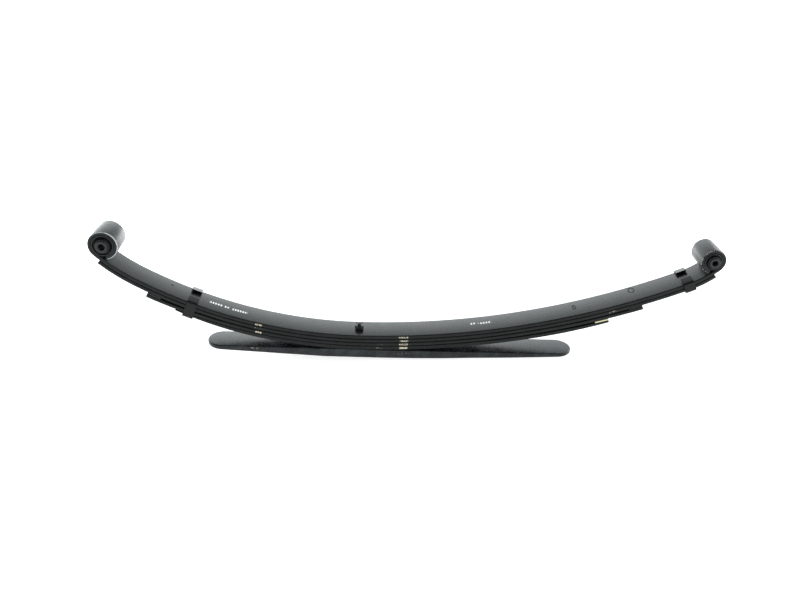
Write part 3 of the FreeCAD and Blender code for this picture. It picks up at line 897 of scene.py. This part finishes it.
# (x, z) profiles of the overload leaf's two faces
OVERLOAD_TOP = ((-0.386, 0.025), (-LEVEL_TOP, 0.024), (LEVEL_TOP, 0.024), (0.551, 0.027))
OVERLOAD_UNDER = (
    (-0.386, 0.0139), (-LEVEL_TOP, 0.0), (SEAT_REAR, 0.0), (0.140, 0.00095), (0.210, 0.00287),
    (0.290, 0.0066), (0.380, 0.00985), (0.470, 0.01435), (0.551, 0.0187))
HEAD_RECESS = 0.0107  # radius of the spot face over the bolt's head


def height_at(profile, x):
    """Height of a profile of straight runs at a place along the spring."""
    for (x0, z0), (x1, z1) in zip(profile, profile[1:]):
        if x <= x1:
            return z0 + (z1 - z0) * (x - x0) / (x1 - x0)
    return profile[-1][1]


def overload_stations():
    """(middle of the end's round, angle) pairs from tip to tip. Along the sides the angle is 0."""
    half = sizes().leaf_width / 2
    low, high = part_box("overload_leaf")
    front = low.x + half
    rear = high.x - half
    turns = quarter(20)
    straight = [front + (rear - front) * n / 90 for n in range(1, 90)]
    straight += [-LEVEL_TOP, JOIN_ROW - LEVEL_TOP, SEAT_REAR, LEVEL_TOP - JOIN_ROW, LEVEL_TOP]
    found = [(front, -turn) for turn in reversed(turns)]
    found += [(x, 0.0) for x in sorted(straight)]
    return found + [(rear, turn) for turn in turns]


def build_overload_leaf():
    """The thick leaf: half-round ends in plan, a flat seat, tapered arms and rounded rims."""
    s = sizes()
    half = s.leaf_width / 2
    radius = s.edge_round
    nominal = MAIN_TOP - 4 * s.leaf_thickness
    paint = leaf_paint("overload", nominal)
    rows = []
    runs = []
    for middle, turn in overload_stations():
        row = []
        run = []
        for side, edge in ((-1, "under"), (-1, "top"), (1, "top"), (1, "under")):
            angles = quarter(4) if (side < 0) == (edge == "under") else list(reversed(quarter(4)))
            for angle in angles:
                inset = radius * (1 - math.sin(angle))
                lift = radius * (1 - math.cos(angle))
                x = middle + (half - inset) * math.sin(turn)
                y = side * (half - inset) * math.cos(turn)
                if edge == "under":
                    z = height_at(OVERLOAD_UNDER, x) + lift
                    depth = nominal - lift
                    way = side * inset
                else:
                    z = height_at(OVERLOAD_TOP, x) - lift
                    depth = lift
                    way = -side * inset
                way += half + nominal - depth if side < 0 else half + nominal + s.leaf_width + depth
                row.append(Vector((x, y, z)))
                run.append((x, way))
        rows.append(row)
        runs.append(run + [run[0]])
    piece = shell("overload_leaf_body", rows, paint, runs=runs)
    drill(piece, BOLT_HOLE, -0.05, 0.1)
    drill(piece, HEAD_RECESS, -0.05, 0.001)
    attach(piece, "leaf_pack")
    stands_for(piece, "overload_leaf")


class LEAF_SPRING_OT_centre_bolt(bpy.types.Operator):
    """Build the centre bolt with its cut thread, and its hexagon nut"""

    bl_idname = "leaf_spring.centre_bolt"
    bl_label = "Centre Bolt"

    def execute(self, context):
        bolt = build_bolt()
        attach(bolt, "leaf_pack")
        stands_for(bolt, "centre_bolt")
        nut = build_nut()
        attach(nut, "leaf_pack")
        stands_for(nut, "centre_bolt_nut")
        return {"FINISHED"}


def build_bolt():
    """The bolt from its round head, under the seat, to the thread that stands out of the nut."""
    low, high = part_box("centre_bolt")
    steps = 48
    shank = 0.0060
    plain = [
        (0.0002, low.z), (0.0088, low.z), (0.0092, low.z + 0.0001), (0.0099, low.z + 0.0008),
        (0.0100, low.z + 0.0011), (0.0100, -0.0001), (0.0104, 0.0), (0.0104, 0.00095), (shank, 0.001),
        (shank, MAIN_TOP + 0.0095)]
    rows = [round_row([radius] * steps, z) for radius, z in plain]
    pitch, depth = 0.00175, 0.0009
    start = MAIN_TOP + 0.010
    stop = high.z - 0.0001
    for level in range(37):
        z = start + (stop - start) * level / 36
        crest = min(shank, 0.0047 + (stop - z) * 1.1)
        cut = depth if z < stop else 0.0
        phases = [((z - start) / pitch - n / steps) % 1.0 for n in range(steps)]
        rows.append(round_row([crest - cut * abs(2 * phase - 1) for phase in phases], z))
    rows.append(round_row([0.0040] * steps, high.z))
    return shell("centre_bolt_body", rows, bolt_steel(), sharp=30.0)


def round_row(radii, z):
    """Points evenly round the bolt's axis, each at its own radius."""
    row = []
    for n, radius in enumerate(radii):
        angle = 2 * math.pi * n / len(radii)
        row.append(Vector((radius * math.cos(angle), radius * math.sin(angle), z)))
    return row


def build_nut():
    """Hexagon nut with both its ends chamfered."""
    low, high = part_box("centre_bolt_nut")
    flat = (high.y - low.y) / 2
    bore = 0.00605
    chamfer = 0.0102
    steps = 96
    turns = [(2 * math.pi * n / steps + math.pi / 6) % (math.pi / 3) - math.pi / 6 for n in range(steps)]
    hexagon = [flat / math.cos(math.pi / 6 - abs(turn)) for turn in turns]
    rows = []
    for level in (0.0, 0.02, 0.05, 0.09, 0.14, 0.5, 0.80, 0.84, 0.88, 0.92, 0.96, 1.0):
        limit = flat + chamfer * min(level + 0.04, (1.0 - level) + 0.012)
        z = low.z + (high.z - low.z) * level
        rows.append(round_row([min(radius, limit) for radius in hexagon], z))
    rows += [round_row([bore] * steps, z) for z in (high.z, low.z)]
    return shell("centre_bolt_nut_body", rows, bolt_steel(), ring=True, sharp=22.0)


class LEAF_SPRING_OT_bushes(bpy.types.Operator):
    """Build the bushes: outer sleeve, bonded rubber and inner sleeve"""

    bl_idname = "leaf_spring.bushes"
    bl_label = "Bushes"

    def execute(self, context):
        for end in ENDS:
            build_bush(end)
        return {"FINISHED"}


def tube_profile(inside, outside, half):
    """Section of a plain tube, as (radius, place along its axis)."""
    return [(outside, -half), (outside, half), (inside, half), (inside, -half)]


def build_bush(end):
    """One eye's bush, turned from closed profiles."""
    centre = EYE_CENTRES[end]
    shell_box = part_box(end + "_bush_outer_sleeve")
    core_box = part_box(end + "_bush_inner_sleeve")
    outer = (shell_box[1].x - shell_box[0].x) / 2
    half_shell = (shell_box[1].y - shell_box[0].y) / 2
    core = (core_box[1].x - core_box[0].x) / 2
    half_core = (core_box[1].y - core_box[0].y) / 2
    bore = of_end(sizes().bush_bore, end)
    wall = sizes().shell_wall
    ring = tube_profile(outer - wall, outer, half_shell)
    sleeve = lathe(end + "_bush_shell", centre, softened(ring, 0.0006), sleeve_steel())
    inside = core + 0.00005
    lip = half_shell - 0.007
    rubber_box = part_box(end + "_bush_rubber")
    collar = (rubber_box[1].y - rubber_box[0].y) / 2
    web = outer - wall - inside
    half = [
        (inside + web, lip), (inside + 0.70 * web, lip - 0.0012), (inside + 0.62 * web, lip - 0.0002),
        (inside + 0.46 * web, lip + 0.0026), (inside + 0.0030, collar - 0.0006), (inside, collar)]
    block = [(radius, -along) for radius, along in half] + list(reversed(half))
    rubber = lathe(end + "_bush_block", centre, softened(block, 0.0007), bush_rubber(), sharp=50.0)
    tube = tube_profile(bore, core, half_core)
    inner = lathe(end + "_bush_core_tube", centre, softened(tube, 0.0008), core_steel())
    for piece, body, node, slot in (
        (sleeve, "_eye", "_bush_outer_sleeve", "sleeve_steel"),
        (rubber, "_eye", "_bush_rubber", "rubber"),
        (inner, "_bush_core", "_bush_inner_sleeve", "core_steel"),
    ):
        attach(piece, end + body)
        stands_for(piece, end + node)


class LEAF_SPRING_OT_rebound_clips(bpy.types.Operator):
    """Build the straps that hold the leaves together on the rebound, and their rivets"""

    bl_idname = "leaf_spring.rebound_clips"
    bl_label = "Rebound Clips"

    def execute(self, context):
        for end in ENDS:
            for piece, node, slot in (
                (build_strap(end), "_clip", "clip_paint"),
                (build_rivet(end), "_clip_rivet", "bolt_steel"),
            ):
                if end == "front":
                    bend(piece, end, 1)
                else:
                    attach(piece, "rear_eye")
                stands_for(piece, end + node)
        return {"FINISHED"}


CLIP_SLACK = 0.0003  # room between a strap and the leaves above and below
CLIP_ROOM = 0.0006   # room between a strap and the leaves' edges


def clip_floor(end):
    """Depth of the strap's inner floor below the main leaf's upper surface."""
    s = sizes()
    if end == "rear":
        return 2 * s.leaf_thickness + CLIP_SLACK
    place = of_end(s.clip_place, end) - s.clip_width / 2
    gap = of_end(s.third_gap, end) * (place / of_end(s.third_length, end)) ** 2
    return 3 * s.leaf_thickness + gap + thickness_of("fourth", end, place) + CLIP_SLACK


def strap_line(end, outset, radius):
    """The strap's inner or outer line across the leaves, from ear tip to ear tip, as (across, depth)."""
    s = sizes()
    half = s.leaf_width / 2 + CLIP_ROOM + outset
    tip = s.leaf_width / 2 - s.ear_length
    rise = (half - tip) * math.tan(math.radians(8))
    right = [
        complex(tip, -CLIP_SLACK - outset - rise), complex(half, -CLIP_SLACK - outset),
        complex(half, clip_floor(end) + outset)]
    corners = right + [complex(-p.real, p.imag) for p in reversed(right)]
    found = [corners[0]]
    for before, corner, after in zip(corners, corners[1:], corners[2:]):
        found += rounded_corner(before, corner, after, radius, 7)
    return found + [corners[-1]]


def build_strap(end):
    """A strap round the leaves, with its ears folded over the main leaf and its rims eased."""
    s = sizes()
    line = main_line(end)
    fold = 0.003
    inner = strap_line(end, 0.0, fold)
    outer = strap_line(end, s.clip_thickness, fold + s.clip_thickness)
    loop = inner + list(reversed(outer))
    middle = of_end(s.clip_place, end)
    mesh = bmesh.new()
    rows = []
    for length in (middle - s.clip_width / 2, middle, middle + s.clip_width / 2):
        rows.append([mesh.verts.new(line.place(length, p.real, p.imag)) for p in loop])
    count = len(loop)
    for first, second in zip(rows, rows[1:]):
        for i in range(count):
            j = (i + 1) % count
            mesh.faces.new((first[i], first[j], second[j], second[i]))
    for row in (rows[0], rows[-1]):
        for i in range(len(inner) - 1):
            mesh.faces.new((row[i], row[i + 1], row[count - 2 - i], row[count - 1 - i]))
    bmesh.ops.recalc_face_normals(mesh, faces=mesh.faces)
    rims = [e for e in mesh.edges if e.calc_face_angle(0.0) > math.radians(55)]
    bmesh.ops.bevel(mesh, geom=rims, offset=0.0007, segments=2, affect="EDGES", clamp_overlap=True)
    return mesh_object(end + "_clip_strap", mesh, strap_paint(), sharp=50.0)


def build_rivet(end):
    """The rivet's low round head under the strap."""
    s = sizes()
    line = main_line(end)
    middle = of_end(s.clip_place, end)
    bottom = clip_floor(end) + s.clip_thickness
    radius, height = 0.0075, 0.004
    ball = (radius ** 2 + height ** 2) / (2 * height)
    low = math.asin(radius / ball)
    profile = [(radius, bottom)]
    for n in range(7, -1, -1):
        lean = low * n / 8
        profile.append((ball * math.sin(lean), bottom + height - ball + ball * math.cos(lean)))
    rows = []
    for reach, depth in profile:
        ring = [cmath.rect(max(reach, 0.0002), 2 * math.pi * n / 40) for n in range(40)]
        rows.append([line.place(middle + p.real, p.imag, depth) for p in ring])
    return shell(end + "_clip_rivet_head", rows, bolt_steel(), sharp=40.0)


class LEAF_SPRING_OT_liners(bpy.types.Operator):
    """Build the friction liners at the leaf tips"""

    bl_idname = "leaf_spring.liners"
    bl_label = "Friction Liners"

    def execute(self, context):
        s = sizes()
        dark = liner_plastic("liner_dark", finish().dark_liner, finish().dark_stain, 0.5)
        pale = liner_plastic("liner_pale", finish().pale_liner, finish().pale_stain, 0.627)
        for leaf, end, line, gap, tone, slot in (
            ("third", "front", third_line("front"), s.third_gap[0], dark, "liner_black"),
            ("third", "rear", third_line("rear"), s.third_gap[1], dark, "liner_black"),
            ("fourth", "rear", fourth_line("rear"), s.fourth_gap[1], pale, "liner_pale"),
        ):
            node = leaf + "_leaf_" + end + "_liner"
            pad = build_pad(node + "_pad", line, gap, tone)
            bend(pad, end, 1)
            stands_for(pad, node)
        return {"FINISHED"}


def build_pad(name, line, gap, tone):
    """A moulded pad that lies on a leaf's tip."""
    s = sizes()
    start = line.length - s.liner_length
    clear = 0.00015
    thickness = gap * (start / line.length) ** 2 - clear
    outline = section(s.liner_width, thickness, 0.0006, steps=2)
    rows = []
    runs = []
    for length, inset in stations(start, line.length - 0.0001, 0.004, True):
        narrowed = 1 - inset * 8
        rows.append([line.place(length, y * narrowed, d - thickness - clear) for y, d, _ in outline])
        runs.append(run_of(line.side * length, outline, s.liner_width, thickness))
    return shell(name, rows, tone, runs=runs)


# Studio

class LEAF_SPRING_OT_studio(bpy.types.Operator):
    """Set up the floor, the soft light and the camera"""

    bl_idname = "leaf_spring.studio"
    bl_label = "Studio"

    def execute(self, context):
        build_floor()
        build_surroundings()
        build_lamps()
        build_camera()
        context.scene.view_settings.view_transform = "Standard"
        return {"FINISHED"}


def build_floor():
    """A plain floor, tilted to touch the bolt's head and the overload leaf's rear end."""
    def build(nodes):
        where = nodes.place()
        cloud = nodes.noise(where, 3.0, 2.0)
        tone = nodes.mixed(cloud * 0.06, rgba(studio().floor), (0.50, 0.505, 0.51, 1))
        split = nodes.node("ShaderNodeSeparateXYZ", None, {0: where})
        beyond = split.part(1).rise(0.25, 1.3).larger(abs(split).rise(1.0, 2.2) * 0.8)
        near = studio().floor_glow / studio().far_glow
        glow = nodes.mixed(beyond, (near, near, near, 1), (0.97, 0.99, 1, 1))
        return {
            "Base Color": tone, "Roughness": 0.9, "Specular IOR Level": 0.1,
            "Emission Color": glow, "Emission Strength": studio().far_glow,
        }
    mesh = bmesh.new()
    bmesh.ops.create_grid(mesh, x_segments=12, y_segments=12, size=14.0)
    floor = mesh_object("studio_floor", mesh, material("studio_floor", build))
    tilt = studio().floor_tilt
    touch = Vector((0.0095, 0.0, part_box("centre_bolt")[0].z - 0.0002))
    floor.matrix_world = Matrix.Translation(touch) @ Matrix.Rotation(-tilt, 4, "Y")


def build_surroundings():
    """The studio's walls as the paint reflects them: bright low down, and darker overhead."""
    world = bpy.data.worlds.new("studio_walls")
    world.use_nodes = True
    bpy.context.scene.world = world
    nodes = Nodes(world.node_tree)
    way = nodes.node("ShaderNodeTexCoord", output="Generated")
    split = nodes.node("ShaderNodeSeparateXYZ", None, {0: way})
    x, y, z = split, split.part(1), split.part(2)
    low_down = 1 - z.rise(0.45, 0.95)
    behind = y.rise(0.05, 0.75) * (1 - 0.45 * x.rise(0.05, 0.30))
    right = x.rise(0.50, 0.86)
    left = (0 - x).rise(0.62, 0.95) * 0.15
    in_front = (0 - y).rise(0.05, 0.6)
    s = studio()
    ceiling = s.overhead * (1 - 0.80 * in_front * (1 - z.rise(0.35, 0.85)))
    walls = low_down * (s.backdrop * behind + s.side_walls * (right + left))
    band = 1.1 * (1 - z.rise(0.28, 0.55))
    strength = (ceiling + walls).larger(band)
    background = world.node_tree.nodes["Background"]
    nodes.feed(background.inputs["Color"], nodes.stretched(strength, (0.93, 0.99, 1.0)))


def build_lamps():
    """Soft lamps behind and to the side, which draw the highlights along the leaves and the eyes."""
    aim = (0.0, 0.0, 0.1)
    for name, place, power, wide in (
        ("lamp_right", (2.6, 1.9, 1.9), studio().lamp * 1.6, 1.6),
        ("lamp_left", (-2.8, 1.2, 1.4), studio().lamp, 1.4),
    ):
        data = bpy.data.lights.new(name, "AREA")
        data.shape = "RECTANGLE"
        data.size = wide
        data.size_y = 1.2
        data.energy = power
        lamp = bpy.data.objects.new(name, data)
        bpy.context.scene.collection.objects.link(lamp)
        turn = (Vector(aim) - Vector(place)).to_track_quat("-Z", "Y").to_matrix().to_4x4()
        lamp.matrix_world = Matrix.Translation(place) @ turn


CAMERA_PLACE = (0.0108, -1.9047, 1.1305)
CAMERA_PITCH = math.radians(27.224)
CAMERA_YAW = math.radians(2.7)
CAMERA_LENS = 38.24


def build_camera():
    """The camera, level to the tilted floor."""
    level = Vector((math.sin(CAMERA_YAW), math.cos(CAMERA_YAW), 0.0))
    forward = level * math.cos(CAMERA_PITCH) - Vector((0.0, 0.0, math.sin(CAMERA_PITCH)))
    right = Vector((math.cos(CAMERA_YAW), -math.sin(CAMERA_YAW), 0.0))
    up = right.cross(forward)
    turn = Matrix((right, up, -forward)).transposed().to_4x4()
    data = bpy.data.cameras.new("camera")
    data.lens = CAMERA_LENS
    data.sensor_width = 36.0
    data.clip_start = 0.01
    data.clip_end = 100.0
    camera = bpy.data.objects.new("camera", data)
    bpy.context.scene.collection.objects.link(camera)
    roll = Matrix.Rotation(studio().floor_tilt, 4, "Z")
    camera.matrix_world = Matrix.Translation(CAMERA_PLACE) @ turn @ roll
    bpy.context.scene.camera = camera


# Add-on

OPERATORS = (
    LEAF_SPRING_OT_studio,
    LEAF_SPRING_OT_cambered_leaves,
    LEAF_SPRING_OT_overload_leaf,
    LEAF_SPRING_OT_centre_bolt,
    LEAF_SPRING_OT_bushes,
    LEAF_SPRING_OT_rebound_clips,
    LEAF_SPRING_OT_liners,
)


class LEAF_SPRING_PT_panel(bpy.types.Panel):
    """Lists the operators that build the spring"""

    bl_label = "Leaf Spring"
    bl_idname = "LEAF_SPRING_PT_panel"
    bl_space_type = "VIEW_3D"
    bl_region_type = "UI"
    bl_category = "Leaf Spring"

    def draw(self, context):
        for group in (sizes(), finish(), studio()):
            box = self.layout.box()
            for name in group.__annotations__:
                box.prop(group, name)
        for operator in OPERATORS:
            self.layout.operator(operator.bl_idname)


GROUPS = {
    "leaf_spring_sizes": SpringSizes,
    "leaf_spring_finish": SpringFinish,
    "leaf_spring_studio": SpringStudio,
}


def register():
    """Adds the settings and the classes."""
    for name, group in GROUPS.items():
        bpy.utils.register_class(group)
        setattr(bpy.types.Scene, name, PointerProperty(type=group))
    for one in (*OPERATORS, LEAF_SPRING_PT_panel):
        bpy.utils.register_class(one)


def unregister():
    """Takes the classes and the settings away again."""
    for one in reversed((*OPERATORS, LEAF_SPRING_PT_panel)):
        bpy.utils.unregister_class(one)
    for name, group in reversed(GROUPS.items()):
        delattr(bpy.types.Scene, name)
        bpy.utils.unregister_class(group)


def main():
    """Builds everything in order."""
    register()
    for operator in OPERATORS:
        name = operator.bl_idname.split(".")[1]
        getattr(bpy.ops.leaf_spring, name)()


if __name__ == "__main__":
    main()
